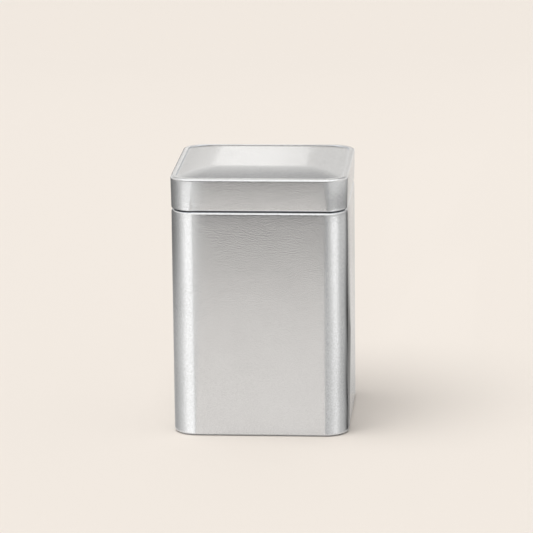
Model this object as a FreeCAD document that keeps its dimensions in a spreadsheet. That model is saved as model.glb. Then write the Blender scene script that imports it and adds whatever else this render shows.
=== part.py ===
import FreeCAD, Part
import math
import os
import Sketcher

# Square tea tin, shut, standing on its base: a pressed tinplate body and the slip lid over its neck.
# Millimetres, +Z up. The origin is the centre of the base, and the front of the tin faces -Y.
# Heights run upwards from the table: foot, straight wall, rounded shoulder, seam gap, hem, skirt, rim, panel.

# ---------------------------------------------------------------------------------------------------
# Driving dimensions. Each is written once, here, and everything below is worked out from them.
# ---------------------------------------------------------------------------------------------------
SIZES = [
    # alias, value, what it is
    ("lid_width", 75.0, "width of the lid across two flat sides"),
    ("lid_corner_radius", 10.0, "upright corner of the lid, outside"),
    ("lid_height", 13.9, "lower edge of the skirt to the crown of the rim"),
    ("lid_wall", 0.5, "wall of the skirt above its hem"),
    ("hem_width", 1.4, "rolled hem at the lower edge of the skirt, measured inwards"),
    ("hem_height", 1.3, "height of the rolled hem"),
    ("hem_radius", 0.65, "rounding of both lower edges of the hem"),
    ("rim_edge_radius", 1.2, "rounding from the skirt up to the crown of the rim"),
    ("rim_width", 2.4, "rim band, from the flat side in to its step"),
    ("rim_depth", 0.5, "step from the crown of the rim down to the foot of the panel"),
    ("rim_step_radius", 0.2, "rounding of the inner edge of the rim"),
    ("panel_thickness", 0.6, "lid under the foot of its raised panel"),
    ("panel_rise", 2.9, "foot of the raised panel to its flat top"),
    ("panel_top_width", 37.0, "flat square top of the panel"),
    ("panel_top_radius", 4.0, "corner of the flat top"),
    ("panel_ridge_width", 3.5, "soft band where the slopes turn into the flat top"),
    ("panel_ridge_slope", 0.1, "rise over run of the slopes at the outer edge of that band"),
    ("body_inset", 0.2, "how far the body stands inside the sides of the lid"),
    ("body_height", 97.35, "table to the top of the shoulder"),
    ("shoulder_radius", 1.3, "rounded shoulder under the lid"),
    ("foot_height", 0.55, "narrow foot between the table and the lower edge of the wall"),
    ("foot_inset", 1.2, "how far the foot is set back under the wall"),
    ("foot_radius", 0.4, "rounding of the lower edge of the wall"),
    ("base_rim_width", 2.2, "side of the body in to the recessed base; the foot is what is left of it"),
    ("base_recess", 1.2, "depth of the recessed base"),
    ("base_corner_radius", 0.4, "rounding of the inner edge of the standing rim"),
    ("seam_gap", 0.4, "open line between the shoulder and the hem"),
    ("neck_clearance", 0.2, "room between the neck and the hem, on each side"),
]
SLOPE_STEPS = 3  # equal steps in which the slopes of the panel are drawn, from its foot to the soft band
RIDGE_STEPS = 2  # equal steps across the soft band
FULLEST_ROUNDING = 0.95  # the most of a narrow wall that a rounding takes
FIRST_HALF, FIRST_CORNER = 30.0, 5.0  # each sketch is drawn at this size before its own sizes are set

doc = FreeCAD.newDocument("TeaTin")


def make_sheet():
    """The spreadsheet of driving dimensions: name, value and meaning, a line for each."""
    sheet = doc.addObject("Spreadsheet::Sheet", "Sizes")
    for row, (alias, value, meaning) in enumerate(SIZES, start=1):
        sheet.set(f"A{row}", alias)
        sheet.set(f"B{row}", str(value))
        sheet.set(f"C{row}", meaning)
        sheet.setAlias(f"B{row}", alias)
    doc.recompute()
    return sheet


make_sheet()

# Heights and widths that follow from the sheet, as expressions.
LID_BOTTOM = "(Sizes.body_height + Sizes.seam_gap)"
RIM_CROWN = f"({LID_BOTTOM} + Sizes.lid_height)"
PANEL_FOOT = f"({RIM_CROWN} - Sizes.rim_depth)"
CAVITY_HEIGHT = "(Sizes.lid_height - Sizes.rim_depth - Sizes.panel_thickness)"
PANEL_WIDTH = "(Sizes.lid_width - 2 * Sizes.rim_width)"
PANEL_RADIUS = "(Sizes.lid_corner_radius - Sizes.rim_width)"
BODY_WIDTH = "(Sizes.lid_width - 2 * Sizes.body_inset)"
NECK_INSET = "(Sizes.hem_width + Sizes.neck_clearance)"


# ---------------------------------------------------------------------------------------------------
# Helpers
# ---------------------------------------------------------------------------------------------------
def new_body(name, label):
    """A PartDesign body with its own label, standing in place at the origin."""
    body = doc.addObject("PartDesign::Body", name)
    body.Label = label
    body.Placement = FreeCAD.Placement()
    return body


def rounded_square(body, name, width, radius, height):
    """A level sketch of a square with rounded corners, centred on the Z axis, at the given height."""
    plane = next(f for f in body.Origin.OriginFeatures if f.Role == "XY_Plane")
    sketch = body.newObject("Sketcher::SketchObject", name)
    sketch.AttachmentSupport = [(plane, "")]
    sketch.MapMode = "FlatFace"
    sketch.setExpression(".AttachmentOffset.Base.z", height)
    half, corner = FIRST_HALF, FIRST_CORNER
    straight = half - corner
    vector = FreeCAD.Vector
    # The four sides run anticlockwise from the front one, each followed by the corner at its end.
    corners = [(1, -1), (1, 1), (-1, 1), (-1, -1)]
    for side, (x, y) in enumerate(corners):
        turn = FreeCAD.Rotation(vector(0, 0, 1), 90 * side)
        start = turn.multVec(vector(-straight, -half, 0))
        end = turn.multVec(vector(straight, -half, 0))
        sketch.addGeometry(Part.LineSegment(start, end))
        centre = vector(x * straight, y * straight, 0)
        circle = Part.Circle(centre, vector(0, 0, 1), corner)
        first = (side - 1) * math.pi / 2
        sketch.addGeometry(Part.ArcOfCircle(circle, first, first + math.pi / 2))
    lines, arcs = [0, 2, 4, 6], [1, 3, 5, 7]
    start_point, end_point, x_axis, y_axis = 1, 2, -1, -2
    for side in range(4):
        following = lines[(side + 1) % 4]
        sketch.addConstraint(Sketcher.Constraint("Tangent", lines[side], end_point, arcs[side], start_point))
        sketch.addConstraint(Sketcher.Constraint("Tangent", arcs[side], end_point, following, start_point))
    for side in (1, 2, 3):
        sketch.addConstraint(Sketcher.Constraint("Equal", arcs[0], arcs[side]))
    # The front side is level because its ends mirror each other, and so is the right one upright.
    front, right, back, left = lines
    sketch.addConstraint(Sketcher.Constraint("Horizontal", back))
    sketch.addConstraint(Sketcher.Constraint("Vertical", left))
    sketch.addConstraint(Sketcher.Constraint("Symmetric", front, start_point, front, end_point, y_axis))
    sketch.addConstraint(Sketcher.Constraint("Symmetric", right, start_point, right, end_point, x_axis))
    sizes = [
        ("width", Sketcher.Constraint("DistanceX", left, start_point, right, start_point, 2 * half), width),
        ("depth", Sketcher.Constraint("DistanceY", front, start_point, back, start_point, 2 * half), width),
        ("corner", Sketcher.Constraint("Radius", arcs[0], corner), radius),
    ]
    for size, constraint, expression in sizes:
        index = sketch.addConstraint(constraint)
        sketch.renameConstraint(index, size)
        sketch.setExpression(f"Constraints.{size}", expression)
    doc.recompute()
    if not sketch.FullyConstrained:
        raise RuntimeError(f"sketch {name} isn't fully constrained")
    return sketch


def settled(feature):
    """The feature once it is worked out, or a plain stop if it failed."""
    doc.recompute()
    if {"Invalid", "Error"} & set(feature.State) or feature.Shape.isNull():
        raise RuntimeError(f"{feature.Label} failed: {feature.State}")
    return feature


def pad(body, name, sketch, length):
    """Adds material above the sketch."""
    feature = body.newObject("PartDesign::Pad", name)
    feature.Profile = sketch
    feature.setExpression("Length", length)
    return settled(feature)


def pocket(body, name, sketch, depth, upwards):
    """Cuts from the sketch, upwards or downwards, and makes sure that something was cut."""
    before = body.Shape.Volume
    feature = body.newObject("PartDesign::Pocket", name)
    feature.Profile = sketch
    feature.Reversed = upwards
    feature.setExpression("Length", depth)
    settled(feature)
    if not body.Shape.Volume < before:
        raise RuntimeError(f"pocket {name} cuts nothing")
    return feature


def limited(radius, wall):
    """The radius, or nearly the whole wall where the wall is too narrow for it."""
    return f"min({radius}; {FULLEST_ROUNDING} * ({wall}))"


def ring_of_edges(feature, level, outline):
    """Names of the edges that run round like one sketch and lie level with another."""
    tolerance = 0.001
    height = level.Placement.Base.z
    half = outline.getDatum("width").Value / 2
    names = []
    for index, edge in enumerate(feature.Shape.Edges, start=1):
        box = edge.BoundBox
        reach = max(abs(box.XMin), abs(box.XMax), abs(box.YMin), abs(box.YMax))
        flat = abs(box.ZMin - height) < tolerance and box.ZLength < tolerance
        if flat and abs(reach - half) < tolerance:
            names.append(f"Edge{index}")
    if len(names) != 8:
        raise RuntimeError(f"{feature.Label}: {len(names)} edges like {outline.Label} at {height}, not 8")
    return names


def fillet(body, name, feature, rings, radius):
    """Rounds whole rings of edges, each given by a sketch at its height and the sketch that it follows."""
    edges = [edge for level, outline in rings for edge in ring_of_edges(feature, level, outline)]
    rounding = body.newObject("PartDesign::Fillet", name)
    rounding.Base = (feature, edges)
    rounding.setExpression("Radius", radius)
    return settled(rounding)


# ---------------------------------------------------------------------------------------------------
# Body: set-back foot, straight wall, neck for the lid, rounded shoulder, recessed base
# ---------------------------------------------------------------------------------------------------
def make_tin_body():
    """The shut body, solid to its neck: nothing shows of what is inside."""
    body = new_body("TinBody", "tin_body")
    corner = "(Sizes.lid_corner_radius - Sizes.body_inset)"
    foot_width = f"({BODY_WIDTH} - 2 * Sizes.foot_inset)"
    foot_outline = rounded_square(body, "FootOutline", foot_width, f"{corner} - Sizes.foot_inset", "0")
    pad(body, "Foot", foot_outline, "Sizes.foot_height")
    outline = rounded_square(body, "WallOutline", BODY_WIDTH, corner, "Sizes.foot_height")
    pad(body, "Wall", outline, "Sizes.body_height - Sizes.foot_height")

    neck_width = f"(Sizes.lid_width - 2 * {NECK_INSET})"
    neck_corner = f"(Sizes.lid_corner_radius - {NECK_INSET})"
    neck_outline = rounded_square(body, "NeckOutline", neck_width, neck_corner, "Sizes.body_height")
    neck = pad(body, "Neck", neck_outline, f"Sizes.seam_gap + {CAVITY_HEIGHT}")
    shoulder_radius = limited("Sizes.shoulder_radius", f"{NECK_INSET} - Sizes.body_inset")
    shoulder = fillet(body, "Shoulder", neck, [(neck_outline, outline)], shoulder_radius)
    fillet(body, "LowerEdge", shoulder, [(outline, outline)], "Sizes.foot_radius")

    base_width = f"({BODY_WIDTH} - 2 * Sizes.base_rim_width)"
    base_outline = rounded_square(body, "BaseOutline", base_width, f"{corner} - Sizes.base_rim_width", "0")
    recess = pocket(body, "BaseRecess", base_outline, "Sizes.base_recess", upwards=True)
    fillet(body, "StandingRim", recess, [(base_outline, base_outline)], "Sizes.base_corner_radius")
    return body


# ---------------------------------------------------------------------------------------------------
# Lid: skirt with a rolled hem, rim band, and a raised panel with four curved slopes
# ---------------------------------------------------------------------------------------------------
def panel_section(body, name, run, in_band):
    """One outline of the raised panel, a level distance outside the edge of its flat top.

    Under the flat top the side drops as a parabola across the soft band. From there it falls on at the
    slope named for it and grows steeper to the foot, so that the whole drop is the rise of the panel.
    """
    whole_run = f"(({PANEL_WIDTH} - Sizes.panel_top_width) / 2)"
    band, slope = "Sizes.panel_ridge_width", "Sizes.panel_ridge_slope"
    if in_band:
        drop = f"({slope} * ({run}) ^ 2 / (2 * {band}))"
    else:
        band_drop = f"{slope} * {band} / 2"
        steeper = f"(Sizes.panel_rise - {band_drop} - {slope} * ({whole_run} - {band}))"
        share = f"(({run} - {band}) / ({whole_run} - {band}))"
        drop = f"({band_drop} + {slope} * ({run} - {band}) + {steeper} * {share} ^ 2)"
    width = f"(Sizes.panel_top_width + 2 * ({run}))"
    radius = f"(Sizes.panel_top_radius + ({PANEL_RADIUS} - Sizes.panel_top_radius) * ({run}) / {whole_run})"
    return rounded_square(body, name, width, radius, f"({PANEL_FOOT} + Sizes.panel_rise - {drop})")


def panel_sections(body):
    """The outlines of the raised panel from its foot up to its flat top."""
    band = "Sizes.panel_ridge_width"
    slope_run = f"(({PANEL_WIDTH} - Sizes.panel_top_width) / 2 - {band})"
    runs = [(f"({band} + {slope_run} * {1 - step / SLOPE_STEPS})", False) for step in range(SLOPE_STEPS)]
    runs += [(f"({band} * {1 - step / RIDGE_STEPS})", True) for step in range(RIDGE_STEPS + 1)]
    return [panel_section(body, f"PanelOutline{index}", *run) for index, run in enumerate(runs)]


def make_tin_lid():
    """The slip lid, resting with the inside of its panel on the top of the neck."""
    body = new_body("TinLid", "tin_lid")
    outline = rounded_square(body, "SkirtOutline", "Sizes.lid_width", "Sizes.lid_corner_radius", LID_BOTTOM)
    pad(body, "Skirt", outline, "Sizes.lid_height")

    step_outline = rounded_square(body, "StepOutline", PANEL_WIDTH, PANEL_RADIUS, RIM_CROWN)
    step = pocket(body, "RimStep", step_outline, "Sizes.rim_depth", upwards=False)
    crown = fillet(body, "RimEdge", step, [(step_outline, outline)], "Sizes.rim_edge_radius")
    fillet(body, "RimInnerEdge", crown, [(step_outline, step_outline)], "Sizes.rim_step_radius")

    foot, *higher = panel_sections(body)
    panel = body.newObject("PartDesign::AdditiveLoft", "RaisedPanel")
    panel.Profile = foot
    panel.Sections = higher
    settled(panel)

    mouth_width = "(Sizes.lid_width - 2 * Sizes.hem_width)"
    mouth_corner = "(Sizes.lid_corner_radius - Sizes.hem_width)"
    mouth = rounded_square(body, "MouthOutline", mouth_width, mouth_corner, LID_BOTTOM)
    pocket(body, "Mouth", mouth, CAVITY_HEIGHT, upwards=True)
    inside_width = "(Sizes.lid_width - 2 * Sizes.lid_wall)"
    inside_corner = "(Sizes.lid_corner_radius - Sizes.lid_wall)"
    hem_top = f"({LID_BOTTOM} + Sizes.hem_height)"
    inside = rounded_square(body, "InsideOutline", inside_width, inside_corner, hem_top)
    cavity = pocket(body, "Inside", inside, f"{CAVITY_HEIGHT} - Sizes.hem_height", upwards=True)
    hem = [(outline, outline), (mouth, mouth)]
    fillet(body, "Hem", cavity, hem, limited("Sizes.hem_radius", "Sizes.hem_width / 2"))
    return body


# ---------------------------------------------------------------------------------------------------
# Build, check and write
# ---------------------------------------------------------------------------------------------------
def check_and_write(bodies):
    """Stops on any failed object or bad solid, then writes a STEP file for each piece."""
    doc.recompute()
    failed = [o.Label for o in doc.Objects if {"Invalid", "Error"} & set(o.State)]
    if failed:
        raise RuntimeError(f"failed: {failed}")
    for body in bodies:
        shape = body.Shape
        if shape.isNull() or not shape.isValid() or len(shape.Solids) != 1:
            raise RuntimeError(f"{body.Label} isn't one valid solid")
    os.makedirs("parts", exist_ok=True)
    for body in bodies:
        box = body.Shape.optimalBoundingBox()
        body.Shape.exportStep(f"parts/{body.Label}.step")
        print(
            f"{body.Label}: {box.XLength:.2f} x {box.YLength:.2f} x {box.ZLength:.2f} mm,"
            f" from z {box.ZMin:.2f} to {box.ZMax:.2f}, volume {body.Shape.Volume / 1000:.2f} cm3"
        )


check_and_write([make_tin_body(), make_tin_lid()])
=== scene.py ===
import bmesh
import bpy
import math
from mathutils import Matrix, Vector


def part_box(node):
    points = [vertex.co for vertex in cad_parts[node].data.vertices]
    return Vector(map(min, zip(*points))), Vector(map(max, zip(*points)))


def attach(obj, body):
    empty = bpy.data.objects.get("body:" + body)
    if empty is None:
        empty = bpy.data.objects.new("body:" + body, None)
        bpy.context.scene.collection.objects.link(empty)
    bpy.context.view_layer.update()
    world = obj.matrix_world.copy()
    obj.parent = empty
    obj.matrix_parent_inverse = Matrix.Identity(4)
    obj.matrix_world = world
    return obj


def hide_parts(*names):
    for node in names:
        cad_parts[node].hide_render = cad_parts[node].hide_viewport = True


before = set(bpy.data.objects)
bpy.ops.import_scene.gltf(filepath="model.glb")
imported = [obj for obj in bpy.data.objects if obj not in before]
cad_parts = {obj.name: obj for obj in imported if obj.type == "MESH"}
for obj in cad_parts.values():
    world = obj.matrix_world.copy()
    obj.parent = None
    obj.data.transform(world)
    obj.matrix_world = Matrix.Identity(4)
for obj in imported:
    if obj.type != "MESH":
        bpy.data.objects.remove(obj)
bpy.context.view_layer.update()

# %% [markdown]
# # A square tea tin in satin tinplate
#
# The tin has two pressed pieces: a can with rounded upright corners, and a shallow slip lid with a raised
# square panel. Both are bare tinplate with a satin grain. A shiny thing has hardly any colour of its own: it
# looks like whatever stands around it. So this lesson has three parts: the two shells, the satin metal, and
# the studio that the metal mirrors.

MM = 0.001
BODY_LOW, BODY_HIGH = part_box("tin_body")
LID_LOW, LID_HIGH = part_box("tin_lid")

# %% [markdown]
# ## One plan for both pieces
#
# Seen from above, the can and the lid are the same square with rounded corners, the can a little smaller so
# that the lid stands proud of it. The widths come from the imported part, so the looks can't drift away from
# the construction. What belongs to one piece alone is named later, beside that piece.

# %% The shared plan, in metres
BODY_WIDTH = BODY_HIGH.x - BODY_LOW.x
LID_WIDTH = LID_HIGH.x - LID_LOW.x
BODY_INSET = (LID_WIDTH - BODY_WIDTH) / 2
LID_CORNER = 10.0 * MM
BODY_CORNER = LID_CORNER - BODY_INSET
CORNER_PLACE = LID_WIDTH / 2 - LID_CORNER
print("widths, in mm: lid", round(LID_WIDTH / MM, 2), "can", round(BODY_WIDTH / MM, 2))

# %% [markdown]
# ## Working with bmesh
#
# A pressed box starts as one flat square. Rounding its four corner points makes the plan of the tin. After
# that, every step is what a press does: draw the face up, step it in, draw it up again. It could also be
# lofted from curves, but this way each size stays visible in the code. The helpers below are those steps.

# %% Helpers that press a shape
CORNER_STEPS = 24


def rounded_plate(bm, width, corner, height):
    """One level face: a square with rounded corners, at the given height."""
    bmesh.ops.create_grid(bm, x_segments=1, y_segments=1, size=width / 2)
    bmesh.ops.bevel(bm, geom=bm.verts[:], offset=corner, offset_type="OFFSET", segments=CORNER_STEPS,
                    profile=0.5, affect="VERTICES", material=-1)
    bmesh.ops.translate(bm, verts=bm.verts[:], vec=(0, 0, height))
    return bm.faces[:][0]


def draw_face(bm, face, height):
    """Draws a level face straight up or down to a height and returns the moved face."""
    made = bmesh.ops.extrude_face_region(bm, geom=[face] + face.edges[:])["geom"]
    moved = [item for item in made if isinstance(item, bmesh.types.BMVert)]
    rise = height - moved[0].co.z
    bmesh.ops.translate(bm, verts=moved, vec=(0, 0, rise))
    return next(item for item in made if isinstance(item, bmesh.types.BMFace))


def draw_in_rows(bm, face, height, rows):
    """Draws a level face in equal steps, so that the wall can be bent afterwards."""
    start = face.verts[0].co.z
    for row in range(1, rows + 1):
        face = draw_face(bm, face, start + (height - start) * row / rows)
    return face


def step_in(bm, face, inset):
    """Steps a level face in by the same distance all round."""
    bmesh.ops.inset_region(bm, faces=[face], thickness=inset, depth=0, use_even_offset=True)
    return face


def widen(bm, face, old_width, new_width):
    """Scales a level face about the axis of the tin."""
    share = new_width / old_width
    bmesh.ops.scale(bm, vec=(share, share, 1), verts=face.verts[:])


print("points round one plate:", 4 * (CORNER_STEPS + 1))

# %% [markdown]
# ## Rounding the pressed edges
#
# Sheet metal can't turn a perfectly sharp edge, and it is these small roundings that catch the light. Each
# one runs right round the tin, so the helpers pick a ring of edges by its height and its width and bevel the
# whole ring at once.

# %% Helpers that round a ring of edges
NEAR = 0.01 * MM


def reach(place):
    """How far a point stands out from the axis, measured square to the side or corner that it is nearest."""
    x, y = abs(place.x) - CORNER_PLACE, abs(place.y) - CORNER_PLACE
    return CORNER_PLACE + (math.hypot(x, y) if min(x, y) > 0 else max(x, y))


def rings(bm, places):
    """The level edges that run round the tin at each (height, width)."""
    found = []
    for height, width in places:
        for edge in bm.edges:
            ends = [vert.co for vert in edge.verts]
            level = all(abs(end.z - height) < NEAR for end in ends)
            round_it = all(abs(reach(end) - width / 2) < NEAR for end in ends)
            if level and round_it:
                found.append(edge)
    return found


def round_over(bm, places, radius, segments):
    """Rounds whole rings of edges."""
    bmesh.ops.bevel(bm, geom=rings(bm, places), offset=radius, offset_type="OFFSET", segments=segments,
                    profile=0.5, affect="EDGES", material=-1)


print("rings found at most", NEAR / MM, "mm away")

# %% [markdown]
# ## Bending the walls
#
# A long thin wall is never quite flat: it springs in a little between the stiff rounded corners. The helper
# moves each point in by an inset that depends on its height, fully in the middle of a side and not at all in
# the middle of a corner.

# %% Helpers that bend a wall
def give(out):
    """How far the wall gives way in an outward direction, from 0 at a corner to 1 on a flat side."""
    return (1 - abs(2 * out.x * out.y)) ** 2


def lean_in(bm, inset_at):
    """Moves the walls inwards by an inset that depends on the height; the stiff corners give way least."""
    for vert in bm.verts:
        x, y = abs(vert.co.x) - CORNER_PLACE, abs(vert.co.y) - CORNER_PLACE
        out = Vector((max(x, 0), max(y, 0), 0))
        if out.length < LID_CORNER / 2:
            continue
        out.normalize()
        inset = inset_at(vert.co.z) * give(out)
        vert.co.x -= math.copysign(out.x * inset, vert.co.x)
        vert.co.y -= math.copysign(out.y * inset, vert.co.y)


print("give of a side and of a corner:", give(Vector((1, 0))), round(give(Vector((1, 1)).normalized()), 3))

# %% [markdown]
# ## From bmesh to object
#
# A rounding that meets a row of the wall leaves two loops in one place, so doubles are merged first. Edges
# sharper than fifty degrees stay sharp. Everywhere else the shading is smooth and follows the large faces:
# that keeps the flat sides flat in the mirror, and lets the roundings alone turn the light.

# %% The shell as an object
MERGE_WITHIN = 0.003 * MM
SHARP_ANGLE = math.radians(50)


def new_piece(name, bm):
    """Turns a bmesh into an object at the origin, with outward faces, smooth except at sharp edges."""
    bmesh.ops.remove_doubles(bm, verts=bm.verts[:], dist=MERGE_WITHIN)
    bmesh.ops.recalc_face_normals(bm, faces=bm.faces[:])
    for edge in bm.edges:
        edge.smooth = edge.calc_face_angle() < SHARP_ANGLE
    volume = bm.calc_volume()
    mesh = bpy.data.meshes.new(name)
    bm.to_mesh(mesh)
    bm.free()
    piece = bpy.data.objects.new(name, mesh)
    bpy.context.scene.collection.objects.link(piece)
    mesh.shade_smooth()
    weighted = piece.modifiers.new("face weights", "WEIGHTED_NORMAL")
    weighted.mode = "FACE_AREA"
    weighted.weight = 100
    weighted.keep_sharp = True
    print(name, "has", len(mesh.polygons), "faces and holds", round(volume / (10 * MM) ** 3, 1), "cubic cm")
    return piece


# %% [markdown]
# ## The can
#
# The can is drawn up from its foot to the shoulder and steps in there to the neck that the lid slides over.
# Its wall ends just above the table, and the tin stands on a narrow rim a little further in, round a
# recessed base: that leaves the thin dark line under the wall. The tin is shut, so the can is one solid.

# %% Sizes of the can
SEAM_GAP = 0.4 * MM
SHOULDER_TOP = LID_LOW.z - SEAM_GAP
SHOULDER_RADIUS = 1.3 * MM
HEM_WIDTH = 1.4 * MM
NECK_CLEARANCE = 0.2 * MM
LEDGE = HEM_WIDTH + NECK_CLEARANCE - BODY_INSET
NECK_TOP = BODY_HIGH.z
FOOT_HEIGHT = 0.55 * MM
FOOT_INSET = 1.2 * MM
FOOT_RADIUS = 0.4 * MM
BASE_RIM_WIDTH = 2.2 * MM
BASE_RECESS = 1.2 * MM
BASE_RADIUS = 0.4 * MM
TURN_HEIGHT = 6.0 * MM
TURN_START = SHOULDER_TOP - TURN_HEIGHT
TURN_INSET = 0.05 * MM
print("shoulder and neck, in mm up:", round(SHOULDER_TOP / MM, 2), round(NECK_TOP / MM, 2))


# %% The can
def can_inset(height):
    """The wall starts to turn in a little way under the shoulder."""
    share = max(0, height - TURN_START) / TURN_HEIGHT
    return TURN_INSET * share ** 2


def make_can():
    """The can, from the recessed base up to the top of the neck."""
    bm = bmesh.new()
    lower = rounded_plate(bm, BODY_WIDTH, BODY_CORNER, FOOT_HEIGHT)
    top = draw_face(bm, lower, TURN_START)
    top = draw_in_rows(bm, top, SHOULDER_TOP - SHOULDER_RADIUS, rows=6)
    top = draw_face(bm, top, SHOULDER_TOP)
    top = step_in(bm, top, LEDGE)
    draw_face(bm, top, NECK_TOP)
    lower = step_in(bm, lower, FOOT_INSET)
    lower = draw_face(bm, lower, 0)
    lower = step_in(bm, lower, BASE_RIM_WIDTH - FOOT_INSET)
    draw_face(bm, lower, BASE_RECESS)
    inner = BODY_WIDTH - 2 * BASE_RIM_WIDTH
    round_over(bm, [(SHOULDER_TOP, BODY_WIDTH)], SHOULDER_RADIUS, segments=10)
    round_over(bm, [(FOOT_HEIGHT, BODY_WIDTH)], FOOT_RADIUS, segments=8)
    round_over(bm, [(0, inner), (BASE_RECESS, inner)], BASE_RADIUS, segments=4)
    lean_in(bm, can_inset)
    return new_piece("can_shell", bm)


can = make_can()

# %% [markdown]
# ## The lid
#
# The lid is pressed in one stroke: a skirt with a rolled hem at its lower edge, a rounded rim, a small step
# down, and a panel that rises in four gentle slopes to a flat square top. The panel is drawn up in twenty
# thin steps whose heights follow a curve, so that the slopes start steep at the rim and run out flat.

# %% Sizes of the lid
HEM_HEIGHT = 1.3 * MM
HEM_RADIUS = 0.65 * MM
LID_WALL = 0.5 * MM
PANEL_RISE = 2.9 * MM
PANEL_FOOT = LID_HIGH.z - PANEL_RISE
RIM_DEPTH = 0.5 * MM
RIM_CROWN = PANEL_FOOT + RIM_DEPTH
RIM_WIDTH = 2.4 * MM
RIM_RADIUS = 1.2 * MM
RIM_STEP_RADIUS = 0.2 * MM
PANEL_WIDTH = LID_WIDTH - 2 * RIM_WIDTH
PANEL_TOP_WIDTH = 37.0 * MM
PANEL_RUN = (PANEL_WIDTH - PANEL_TOP_WIDTH) / 2
PANEL_BAND = 3.5 * MM
PANEL_SLOPE = 0.1
PANEL_STEPS = 20
SKIRT_TOP = RIM_CROWN - RIM_RADIUS
SKIRT_LEAN_TOP = math.radians(1.3)
SKIRT_LEAN_LOW = math.radians(3.5)
print("rim and panel top, in mm up:", round(RIM_CROWN / MM, 2), round(LID_HIGH.z / MM, 2))


# %% The curves of the lid
def panel_drop(run):
    """How far the panel lies under its flat top at a level distance outside the edge of that top."""
    if run <= PANEL_BAND:
        return PANEL_SLOPE * run ** 2 / (2 * PANEL_BAND)
    at_band = PANEL_SLOPE * PANEL_BAND / 2
    beyond = run - PANEL_BAND
    steeper = PANEL_RISE - at_band - PANEL_SLOPE * (PANEL_RUN - PANEL_BAND)
    return at_band + PANEL_SLOPE * beyond + steeper * (beyond / (PANEL_RUN - PANEL_BAND)) ** 2


def skirt_inset(height):
    """The skirt bows: it leans in a little under the rim and more towards the hem."""
    drop = min(max(0, SKIRT_TOP - height), SKIRT_TOP - LID_LOW.z)
    top_slope, low_slope = math.tan(SKIRT_LEAN_TOP), math.tan(SKIRT_LEAN_LOW)
    return top_slope * drop + (low_slope - top_slope) * drop ** 2 / (2 * (SKIRT_TOP - LID_LOW.z))


print("panel drops, in mm:", round(panel_drop(PANEL_BAND) / MM, 3), "at the edge of the flat,",
      round(panel_drop(PANEL_RUN) / MM, 3), "at its foot")
print("skirt leans in by", round(skirt_inset(LID_LOW.z) / MM, 3), "mm at the hem")


# %% The lid
def raise_panel(bm, top):
    """Draws the panel up from its foot in thin level steps."""
    width = PANEL_WIDTH
    for step in range(1, PANEL_STEPS + 1):
        run = PANEL_RUN * (1 - step / PANEL_STEPS)
        top = draw_face(bm, top, LID_HIGH.z - panel_drop(run))
        new_width = PANEL_TOP_WIDTH + 2 * run
        widen(bm, top, width, new_width)
        width = new_width


def open_mouth(bm, under, mouth):
    """Steps in under the hem, up over it and on up inside the skirt to the top of the neck."""
    under = step_in(bm, under, HEM_WIDTH)
    under = draw_face(bm, under, LID_LOW.z + HEM_HEIGHT)
    under = draw_face(bm, under, LID_LOW.z + HEM_HEIGHT)
    widen(bm, under, mouth, LID_WIDTH - 2 * LID_WALL)
    draw_face(bm, under, NECK_TOP)


def make_lid():
    """The slip lid: skirt, hem, rim and raised panel."""
    bm = bmesh.new()
    under = rounded_plate(bm, LID_WIDTH, LID_CORNER, LID_LOW.z)
    top = draw_in_rows(bm, under, SKIRT_TOP, rows=10)
    top = draw_face(bm, top, RIM_CROWN)
    top = step_in(bm, top, RIM_WIDTH)
    top = draw_face(bm, top, PANEL_FOOT)
    raise_panel(bm, top)
    mouth = LID_WIDTH - 2 * HEM_WIDTH
    open_mouth(bm, under, mouth)
    round_over(bm, [(RIM_CROWN, LID_WIDTH)], RIM_RADIUS, segments=12)
    round_over(bm, [(RIM_CROWN, PANEL_WIDTH)], RIM_STEP_RADIUS, segments=5)
    round_over(bm, [(LID_LOW.z, LID_WIDTH), (LID_LOW.z, mouth)], HEM_RADIUS, segments=8)
    lean_in(bm, skirt_inset)
    return new_piece("lid_shell", bm)


lid = make_lid()

# %% [markdown]
# ## The satin grain
#
# Tinplate is thin steel with a bright coat of tin. This one has a satin finish: the sheet is rolled against
# fine sand-blasted rolls, which leave a soft grain of tiny pits, about 0.4 mm apart. The grain is one node
# group, so that any other tin part could use it: it gives a height for the bumps, a roughness, and a tone
# that carries fine specks and a faint broad cloud. Noise on the object's own coordinates does it all, so the
# grain has no seam and stays the same size on every face.

# %% Helpers for a node group of numbers
def new_group(name, sockets_in, sockets_out):
    """An empty node group with named number inputs and outputs."""
    group = bpy.data.node_groups.new(name, "ShaderNodeTree")
    for label, value in sockets_in:
        socket = group.interface.new_socket(label, in_out="INPUT", socket_type="NodeSocketFloat")
        socket.default_value = value
    for label in sockets_out:
        group.interface.new_socket(label, in_out="OUTPUT", socket_type="NodeSocketFloat")
    return group, group.nodes.new("NodeGroupInput"), group.nodes.new("NodeGroupOutput")


def add_noise(group, place, size, detail):
    """A noise texture at a place, with lumps of about the given size."""
    noise = group.nodes.new("ShaderNodeTexNoise")
    noise.inputs["Scale"].default_value = 1 / size
    noise.inputs["Detail"].default_value = detail
    group.links.new(place, noise.inputs["Vector"])
    return noise.outputs["Fac"]


def spread(group, value, low, high):
    """Turns a value from 0 to 1 into one from low to high; both ends may be sockets of the group."""
    node = group.nodes.new("ShaderNodeMapRange")
    group.links.new(value, node.inputs["Value"])
    for label, end in (("To Min", low), ("To Max", high)):
        if isinstance(end, bpy.types.NodeSocket):
            group.links.new(end, node.inputs[label])
        else:
            node.inputs[label].default_value = end
    return node.outputs["Result"]


# %% The grain
GRAIN_SIZE = 0.4 * MM
SPECK_SIZE = 0.42 * MM
CLOUD_SIZE = 14.0 * MM
SPECK_SHARE = 0.85
DARKEST, LIGHTEST = 0.82, 1.18


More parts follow.
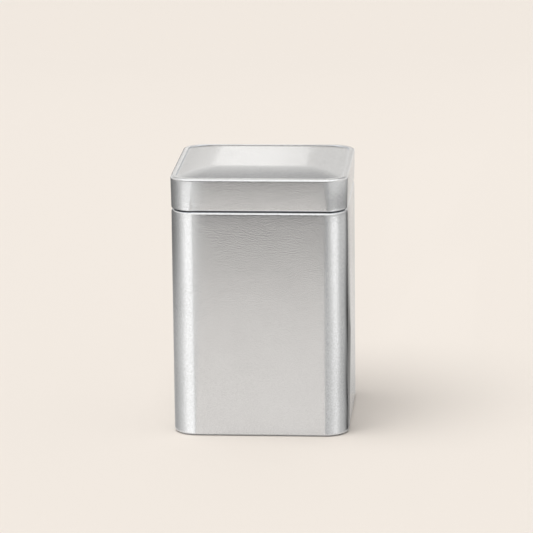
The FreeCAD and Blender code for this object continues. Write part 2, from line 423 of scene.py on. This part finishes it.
def make_satin_grain():
    """Fine pits and specks over a broader, fainter cloud, read from the place on the object."""
    wanted = [("Smoothest", 0.2), ("Roughest", 0.26)]
    group, given, result = new_group("satin_grain", wanted, ["Height", "Roughness", "Tone"])
    place = group.nodes.new("ShaderNodeTexCoord").outputs["Object"]
    pits = add_noise(group, place, GRAIN_SIZE, detail=2.0)
    cloud = add_noise(group, place, CLOUD_SIZE, detail=1.0)
    roughness = spread(group, pits, given.outputs["Smoothest"], given.outputs["Roughest"])
    specks = add_noise(group, place, SPECK_SIZE, detail=0.0)
    both = group.nodes.new("ShaderNodeMix")
    group.links.new(cloud, both.inputs["A"])
    group.links.new(specks, both.inputs["B"])
    both.inputs["Factor"].default_value = SPECK_SHARE
    tone = spread(group, both.outputs["Result"], DARKEST, LIGHTEST)
    group.links.new(pits, result.inputs["Height"])
    group.links.new(roughness, result.inputs["Roughness"])
    group.links.new(tone, result.inputs["Tone"])
    return group


grain_group = make_satin_grain()
print("grain outputs:", [socket.name for socket in grain_group.interface.items_tree])

# %% [markdown]
# ## The metal
#
# Metal needs little more than a base colour, full Metallic and a roughness. The pits go into a Bump node with
# a depth in metres, so they stay shallow at any scale. The neck is the same tinplate, rubbed dull where the
# lid slides over it. Its dark colour is painted shade: it lies deep in the seam, where next to no light gets
# in.

# %% The metal
TIN_COLOUR = (0.757, 0.792, 0.836, 1)
PIT_DEPTH = 0.042 * MM


def satin_tinplate(name):
    """Bare satin tinplate: plain metal over the shared grain."""
    material = bpy.data.materials.new(name)
    material.use_nodes = True
    nodes, links = material.node_tree.nodes, material.node_tree.links
    shader = nodes["Principled BSDF"]
    shader.inputs["Metallic"].default_value = 1.0
    grain = nodes.new("ShaderNodeGroup")
    grain.node_tree = grain_group
    colour = nodes.new("ShaderNodeMix")
    colour.data_type = "RGBA"
    colour.blend_type = "MULTIPLY"
    colour.inputs["Factor"].default_value = 1.0
    colour.inputs["A"].default_value = TIN_COLOUR
    links.new(grain.outputs["Tone"], colour.inputs["B"])
    links.new(colour.outputs["Result"], shader.inputs["Base Color"])
    links.new(grain.outputs["Roughness"], shader.inputs["Roughness"])
    bump = nodes.new("ShaderNodeBump")
    bump.inputs["Distance"].default_value = PIT_DEPTH
    links.new(grain.outputs["Height"], bump.inputs["Height"])
    links.new(bump.outputs["Normal"], shader.inputs["Normal"])
    return material


tinplate = satin_tinplate("satin_tinplate")
print("tinplate nodes:", len(tinplate.node_tree.nodes))

# %% The rubbed neck, painted dark as shade
# Painted shade: this dark colour stands in for the shade deep in the seam; only the rougher finish is from
# rubbing.
NECK_SHADE_COLOUR = (0.16, 0.155, 0.15, 1)
RUBBED_SMOOTHEST, RUBBED_ROUGHEST = 0.45, 0.6


def rubbed_and_shaded_tinplate(name):
    """The neck, dulled where the lid slides over it, and painted dark as shade for the seam, where hardly any
    light gets in.
    """
    material = satin_tinplate(name)
    nodes = material.node_tree.nodes
    grain = nodes["Group"]
    grain.inputs["Smoothest"].default_value = RUBBED_SMOOTHEST
    grain.inputs["Roughest"].default_value = RUBBED_ROUGHEST
    nodes["Mix"].inputs["A"].default_value = NECK_SHADE_COLOUR
    return material


def on_neck(face):
    """Whether a face of the can lies on the ledge or the neck, inside the shoulder."""
    inside = reach(face.center) < BODY_WIDTH / 2 - LEDGE + 5 * NEAR
    return inside and face.center.z > SHOULDER_TOP - NEAR


can.data.materials.append(tinplate)
can.data.materials.append(rubbed_and_shaded_tinplate("rubbed_and_shaded_tinplate"))
lid.data.materials.append(tinplate)
# The faces on the neck get the painted shade of the seam.
neck_faces = [face for face in can.data.polygons if on_neck(face)]
for face in neck_faces:
    face.material_index = 1
print("faces on the neck:", len(neck_faces))

# %% [markdown]
# ## Handing over the pieces
#
# Each shell takes the place of one plain solid of the construction and rides on the only body there is.

# %% What each piece replaces
for piece, node in ((can, "tin_body"), (lid, "tin_lid")):
    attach(piece, "root")
    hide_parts(node)
    print(piece.name, "replaces", node)

# %% [markdown]
# ## The table
#
# A plain pale floor, a little warm. It is large, so that the camera sees nothing else behind the tin. It is
# also the biggest thing that the tin mirrors: every upright side looks slightly down onto it.

# %% Floor
FLOOR_REACH = 6.0
FLOOR_COLOUR = (0.845, 0.79, 0.738, 1)


def stage_object(name, bm, material):
    """Adds a mesh of the studio with one material."""
    mesh = bpy.data.meshes.new(name)
    bm.to_mesh(mesh)
    bm.free()
    mesh.materials.append(material)
    thing = bpy.data.objects.new(name, mesh)
    bpy.context.scene.collection.objects.link(thing)
    return thing


def make_floor():
    """A large level floor of matt, warm pale plaster."""
    material = bpy.data.materials.new("floor_plaster")
    material.use_nodes = True
    shader = material.node_tree.nodes["Principled BSDF"]
    shader.inputs["Base Color"].default_value = FLOOR_COLOUR
    shader.inputs["Roughness"].default_value = 0.9
    shader.inputs["Specular IOR Level"].default_value = 0.2
    bm = bmesh.new()
    bmesh.ops.create_grid(bm, x_segments=1, y_segments=1, size=FLOOR_REACH)
    return stage_object("floor", bm, material)


floor = make_floor()
print("floor, in m:", [round(side, 2) for side in floor.dimensions])

# %% [markdown]
# ## Cards that only mirrors see
#
# A photographer lights metal by what it mirrors: a bright card where the metal should flash, a black one
# where it should show a dark edge. Here the cards are invisible to everything but mirrored rays, so they
# shape the metal and leave the floor, its shadow and the camera alone. A card is a glowing mesh. One colour
# ramp says how bright it is along its length, and a card may have several ramps, one above another, that
# blend into each other with height. The glow is a little warm, because tin is a little blue.

# %% Helpers for a glowing card
CARD_WARMTH = (0.955, 0.9)


def paint_ramp(nodes, stops):
    """A colour ramp of brightness; stops are (place from 0 to 1, brightness)."""
    ramp = nodes.new("ShaderNodeValToRGB")
    ramp.color_ramp.interpolation = "EASE"
    elements = ramp.color_ramp.elements
    while len(elements) < len(stops):
        elements.new(0.5)
    for element, (place, brightness) in zip(elements, sorted(stops)):
        element.position = place
        element.color = (brightness, brightness * CARD_WARMTH[0], brightness * CARD_WARMTH[1], 1)
    return ramp


def blend_upwards(nodes, links, height, lower, upper, below, level):
    """Blends from one colour to another between two heights."""
    share = nodes.new("ShaderNodeMapRange")
    share.interpolation_type = "SMOOTHSTEP"
    share.inputs["From Min"].default_value = below
    share.inputs["From Max"].default_value = level
    links.new(height, share.inputs["Value"])
    mix = nodes.new("ShaderNodeMix")
    mix.data_type = "RGBA"
    links.new(share.outputs["Result"], mix.inputs["Factor"])
    links.new(lower, mix.inputs["A"])
    links.new(upper, mix.inputs["B"])
    return mix.outputs["Result"]


def glow_material(name, gradient, layers):
    """A card that gives light; layers are (height in metres, stops of its ramp), from the foot up."""
    material = bpy.data.materials.new(name)
    material.use_nodes = True
    nodes, links = material.node_tree.nodes, material.node_tree.links
    nodes.clear()
    place = nodes.new("ShaderNodeTexCoord").outputs["Object"]
    texture = nodes.new("ShaderNodeTexGradient")
    texture.gradient_type = gradient
    links.new(place, texture.inputs["Vector"])
    parts = nodes.new("ShaderNodeSeparateXYZ")
    links.new(place, parts.inputs["Vector"])
    paint, below = None, 0
    for level, stops in layers:
        ramp = paint_ramp(nodes, stops)
        links.new(texture.outputs["Fac"], ramp.inputs["Fac"])
        upper = ramp.outputs["Color"]
        if paint is not None:
            upper = blend_upwards(nodes, links, parts.outputs["Z"], paint, upper, below, level)
        paint, below = upper, level
    light = nodes.new("ShaderNodeEmission")
    surface = nodes.new("ShaderNodeOutputMaterial")
    links.new(paint, light.inputs["Color"])
    links.new(light.outputs["Emission"], surface.inputs["Surface"])
    return material


def mirrored_only(card):
    """Leaves a card to mirrored rays alone."""
    card.visible_camera = False
    card.visible_diffuse = False
    card.visible_shadow = False
    card.visible_transmission = False
    print(card.name, "in m:", [round(side, 3) for side in card.dimensions])
    return card


# %% [markdown]
# ## A card round each front corner
#
# A rounded corner mirrors half the room in a strip a few millimetres wide. A card close round the corner,
# leaning back a little, gives full control of that strip. Its brightness is given by heading: the level
# direction in which a mirrored ray leaves the metal, in degrees from the front of the tin towards its left.
# Because the card stands close, the ray's start on the curved metal matters too, and paint_angle allows for
# it. The heights are those of the card, a little under the parts of the tin that mirror them.

# %% Helpers for the corner cards
VIEW_YAW = math.radians(-4.4198)
CARD_NEAR = LID_CORNER + 1.5 * MM
CARD_HEIGHT = 108.5 * MM
CARD_LEAN = math.radians(77)
CARD_FOOT = 0.5 * MM


def paint_angle(heading, away):
    """Where on a card round a corner, in degrees, to paint what the camera sees mirrored at a heading."""
    seen = math.radians(heading)
    turned = (seen + VIEW_YAW) / 2
    x = LID_CORNER * math.sin(turned) + away * math.sin(seen)
    y = LID_CORNER * math.cos(turned) + away * math.cos(seen)
    return math.degrees(math.atan2(x, y))


def corner_card(name, corner, layers):
    """A card leaning back round one corner; layers are (height, [(heading, brightness), ...])."""
    ends = [(CARD_NEAR, CARD_FOOT), (CARD_NEAR + CARD_HEIGHT / math.tan(CARD_LEAN), CARD_HEIGHT)]
    painted = []
    for height, stops in layers:
        away = CARD_NEAR + height / math.tan(CARD_LEAN) - LID_CORNER
        painted.append((height, [(paint_angle(heading, away), brightness) for heading, brightness in stops]))
    angles = [angle for height, stops in painted for angle, brightness in stops]
    first, last = min(angles), max(angles)
    middle, half = (first + last) / 2, math.radians(last - first) / 2
    bm = bmesh.new()
    start = [bm.verts.new((away * math.cos(half), -away * math.sin(half), height)) for away, height in ends]
    edge = bm.edges.new(start)
    bmesh.ops.spin(bm, geom=start + [edge], cent=(0, 0, 0), axis=(0, 0, 1), angle=2 * half, steps=60)
    ramps = [(height, [(0.5 + (middle - angle) / 360, brightness) for angle, brightness in stops])
             for height, stops in painted]
    card = stage_object(name, bm, glow_material(name, "RADIAL", ramps))
    card.location = (corner[0], corner[1], 0)
    card.rotation_euler = (0, 0, math.radians(-90 - middle))
    return mirrored_only(card)


print("corner cards lean back", round(90 - math.degrees(CARD_LEAN), 1), "degrees")

# %% The left corner: a broad flash that fades towards the side
left_low = [(4.7, 0.6), (9, 1.04), (16, 1.18), (38, 1.22), (49, 1.14), (60, 1.0), (72, 0.84), (85, 0.7),
            (118, 0.52), (140, 0.43), (156, 0.4), (165, 0.55)]
left_high = [(4.7, 0.6), (8.5, 1.06), (15, 1.22), (38, 1.24), (49, 1.08), (60, 0.86), (72, 0.64), (85, 0.46),
             (110, 0.3), (140, 0.2), (156, 0.2), (165, 0.45)]
left_lid = [(4.7, 0.72), (8.5, 1.04), (13, 1.12), (22, 1.06), (38, 1.04), (49, 0.98), (60, 0.8), (72, 0.62),
            (85, 0.45), (110, 0.3), (140, 0.2), (156, 0.2), (165, 0.45)]
left_card = corner_card("left_card", (-CORNER_PLACE, -CORNER_PLACE),
                        [(0, left_low), (0.012, left_low), (0.035, left_low), (0.086, left_high),
                         (0.0915, left_high), (0.095, left_lid)])

# %% The right corner: a narrower flash, then a black line before the side
right_low = [(-172, 0.3), (-169, 0.0), (-160, 0.0), (-150, 0.06), (-137, 0.28), (-122, 0.42), (-103, 0.56),
             (-83, 0.62), (-71, 0.82), (-59, 0.94), (-43, 0.86), (-28, 0.72), (-14, 0.64), (0, 0.58)]
right_middle = [(-172, 0.24), (-169, 0.0), (-163, 0.0), (-152, 0.0), (-141, 0.15), (-128, 0.4), (-110, 0.56),
                (-83, 0.62), (-71, 0.94), (-59, 1.08), (-43, 0.92), (-28, 0.7), (-14, 0.6), (0, 0.54)]
right_high = [(-172, 0.5), (-168.5, 0.1), (-154, 0.05), (-141, 0.3), (-126, 0.6), (-103, 0.68), (-83, 0.66),
              (-71, 0.98), (-59, 1.16), (-43, 1.08), (-28, 0.72), (-16, 0.5), (0, 0.4)]
right_hem = [(-172, 0.6), (-163, 0.2), (-150, 0.24), (-138, 0.34), (-122, 0.36), (-103, 0.38), (-83, 0.4),
             (-59, 0.42), (-43, 0.46), (-28, 0.48), (-16, 0.47), (0, 0.44)]
right_rim = [(-172, 0.65), (-163, 0.4), (-150, 0.42), (-138, 0.54), (-122, 0.64), (-103, 0.72), (-83, 0.76),
             (-59, 0.86), (-43, 0.86), (-28, 0.74), (-16, 0.54), (0, 0.46)]
right_card = corner_card("right_card", (CORNER_PLACE, -CORNER_PLACE),
                         [(0, right_low), (0.012, right_low), (0.046, right_middle), (0.0905, right_high),
                          (0.0933, right_hem), (0.106, right_rim)])

# %% [markdown]
# ## Flat cards farther off
#
# The flat front mirrors the table and, towards its top, a low dark card. A bright card above that one,
# carried on overhead, puts the thin flash on every edge that is rounded upwards. The lid's panel mirrors what
# stands behind: the flat top sees the pale lower part with one bright strip in the middle, and the front
# slope sees the darker part above. A black shade low down turns the panel's far slope into a thin dark line,
# and one card lies on the table to the right, for the narrow view of the side wall.

# %% Cards in front and overhead
def flat_card(name, foot, along, width, stops):
    """A flat card, from the middle of one edge along a vector; stops are (share of the way, brightness)."""
    bm = bmesh.new()
    bmesh.ops.create_grid(bm, x_segments=1, y_segments=1, size=0.5)
    bmesh.ops.translate(bm, verts=bm.verts[:], vec=(0.5, 0, 0))
    card = stage_object(name, bm, glow_material(name, "LINEAR", [(0, stops)]))
    across = Vector((width, 0, 0))
    normal = along.cross(across).normalized()
    card.matrix_world = Matrix.Translation(foot) @ Matrix((along, across, normal)).transposed().to_4x4()
    return mirrored_only(card)


front_card = flat_card("front_card", Vector((0, -0.42, 0)), Vector((0, -0.06, 0.29)), 2.0,
                       [(0.0, 0.16), (0.7, 0.2), (1.0, 0.5)])
front_glow = flat_card("front_glow", Vector((0, -0.62, 0.32)), Vector((0, 0.2, 0.46)), 2.0,
                       [(0.0, 1.0), (0.2, 1.25), (1.0, 1.25)])
overhead_card = flat_card("overhead_card", Vector((0, -0.42, 0.78)), Vector((0, 0.9, 0)), 1.6,
                          [(0.0, 1.25), (0.7, 1.2), (1.0, 0.35)])

# %% Cards behind and beside the tin
BACK = 0.9
strip_place = math.tan(VIEW_YAW) * BACK - 0.008
back_card = flat_card("back_card", Vector((0, BACK, 0.0)), Vector((0, 0, 1.25)), 2.4,
                      [(0.0, 0.8), (0.16, 0.95), (0.27, 0.95), (0.36, 0.81), (0.42, 0.76), (0.5, 0.71),
                       (0.6, 0.65), (0.75, 0.53), (0.88, 0.44), (1.0, 0.37)])
back_side = flat_card("back_side", Vector((strip_place + 0.54, BACK - 0.005, 0.16)), Vector((0, 0, 1.0)), 1.0,
                      [(0.0, 0.84), (0.2, 0.84), (0.3, 0.72), (0.4, 0.63), (0.6, 0.5), (0.8, 0.38),
                       (1.0, 0.3)])
back_strip = flat_card("back_strip", Vector((strip_place, BACK - 0.01, 0.2)), Vector((0, 0, 0.3)), 0.075,
                       [(0.0, 1.36), (0.45, 1.36), (0.8, 0.9), (1.0, 0.78)])
right_floor = flat_card("right_floor", Vector((0.062, 0.03, 0.0006)), Vector((0, 0.55, 0)), 0.05,
                        [(0.0, 0.56), (0.12, 0.7), (0.25, 0.76), (0.38, 0.74), (0.57, 0.62), (1.0, 0.64)])
back_shade = flat_card("back_shade", Vector((strip_place, BACK - 0.02, 0.0)), Vector((0, 0, 0.185)), 0.4,
                       [(0.0, 0.0), (0.9, 0.0), (1.0, 0.4)])

# %% [markdown]
# ## Camera
#
# A long lens from a metre and a half away keeps the upright sides nearly parallel. The camera stands a little
# to the right and looks down at about thirteen degrees.

# %% Camera
LENS_MM, SENSOR_MM = 237.4, 36.0
VIEW_PITCH, VIEW_ROLL = math.radians(13.45), math.radians(-0.6212)
VIEW_DISTANCE = 1.5154
VIEW_TARGET = Vector((0.0006, 0, 0.0653))


def add_camera():
    """A long lens aimed at the middle of the tin."""
    data = bpy.data.cameras.new("camera")
    data.lens, data.sensor_width = LENS_MM, SENSOR_MM
    camera = bpy.data.objects.new("camera", data)
    bpy.context.scene.collection.objects.link(camera)
    level = math.cos(VIEW_PITCH)
    forward = Vector((math.sin(VIEW_YAW) * level, math.cos(VIEW_YAW) * level, -math.sin(VIEW_PITCH)))
    right = Vector((math.cos(VIEW_YAW), -math.sin(VIEW_YAW), 0))
    up = right.cross(forward)
    side = right * math.cos(VIEW_ROLL) + up * math.sin(VIEW_ROLL)
    top_side = up * math.cos(VIEW_ROLL) - right * math.sin(VIEW_ROLL)
    turn = Matrix((side, top_side, -forward)).transposed().to_4x4()
    camera.matrix_world = Matrix.Translation(VIEW_TARGET - forward * VIEW_DISTANCE) @ turn
    bpy.context.scene.camera = camera
    print("camera at", [round(part, 3) for part in camera.matrix_world.translation])


add_camera()

# %% [markdown]
# ## Light
#
# One large soft lamp from the upper left lights the floor and makes the soft shadow to the right. Mirrored
# rays don't see it: in the metal the cards do its work. The world fills in the rest evenly. To the eye and in
# mirrors it is as pale as the floor, so the far edge of the floor doesn't show, and matt things get a little
# less light from it, which keeps the shadow.

# %% Lamp
LAMP_BREADTH = math.radians(50)
LAMP_STRENGTH = 1.65
LAMP_COLOUR = (1.0, 0.985, 0.96)
LAMP_PLACE = Vector((-0.3, -0.25, 1.0))


def add_lamp():
    """A broad soft lamp that lights matt things."""
    data = bpy.data.lights.new("key_lamp", "SUN")
    data.angle = LAMP_BREADTH
    data.energy = LAMP_STRENGTH
    data.color = LAMP_COLOUR
    lamp = bpy.data.objects.new("key_lamp", data)
    bpy.context.scene.collection.objects.link(lamp)
    lamp.location = LAMP_PLACE
    lamp.rotation_euler = (-LAMP_PLACE).to_track_quat("-Z", "Y").to_euler()
    lamp.visible_glossy = False
    print("lamp stands", round(math.degrees(math.asin(LAMP_PLACE.normalized().z)), 1), "degrees high")


add_lamp()

# %% World
FILL_COLOUR = (0.55, 0.545, 0.535, 1)
PALE_COLOUR = (0.853, 0.798, 0.747, 1)


def make_world():
    """A plain world: pale to the eye and in mirrors, weaker as fill light."""
    world = bpy.data.worlds.new("studio")
    world.use_nodes = True
    nodes, links = world.node_tree.nodes, world.node_tree.links
    path = nodes.new("ShaderNodeLightPath")
    seen = nodes.new("ShaderNodeMath")
    seen.operation = "MAXIMUM"
    links.new(path.outputs["Is Camera Ray"], seen.inputs[0])
    links.new(path.outputs["Is Glossy Ray"], seen.inputs[1])
    clear = nodes.new("ShaderNodeMath")
    clear.operation = "MAXIMUM"
    links.new(seen.outputs["Value"], clear.inputs[0])
    links.new(path.outputs["Is Transmission Ray"], clear.inputs[1])
    colour = nodes.new("ShaderNodeMix")
    colour.data_type = "RGBA"
    colour.inputs["A"].default_value = FILL_COLOUR
    colour.inputs["B"].default_value = PALE_COLOUR
    links.new(clear.outputs["Value"], colour.inputs["Factor"])
    links.new(colour.outputs["Result"], nodes["Background"].inputs["Color"])
    bpy.context.scene.world = world


make_world()
bpy.context.scene.view_settings.view_transform = "Standard"
print("view transform:", bpy.context.scene.view_settings.view_transform)
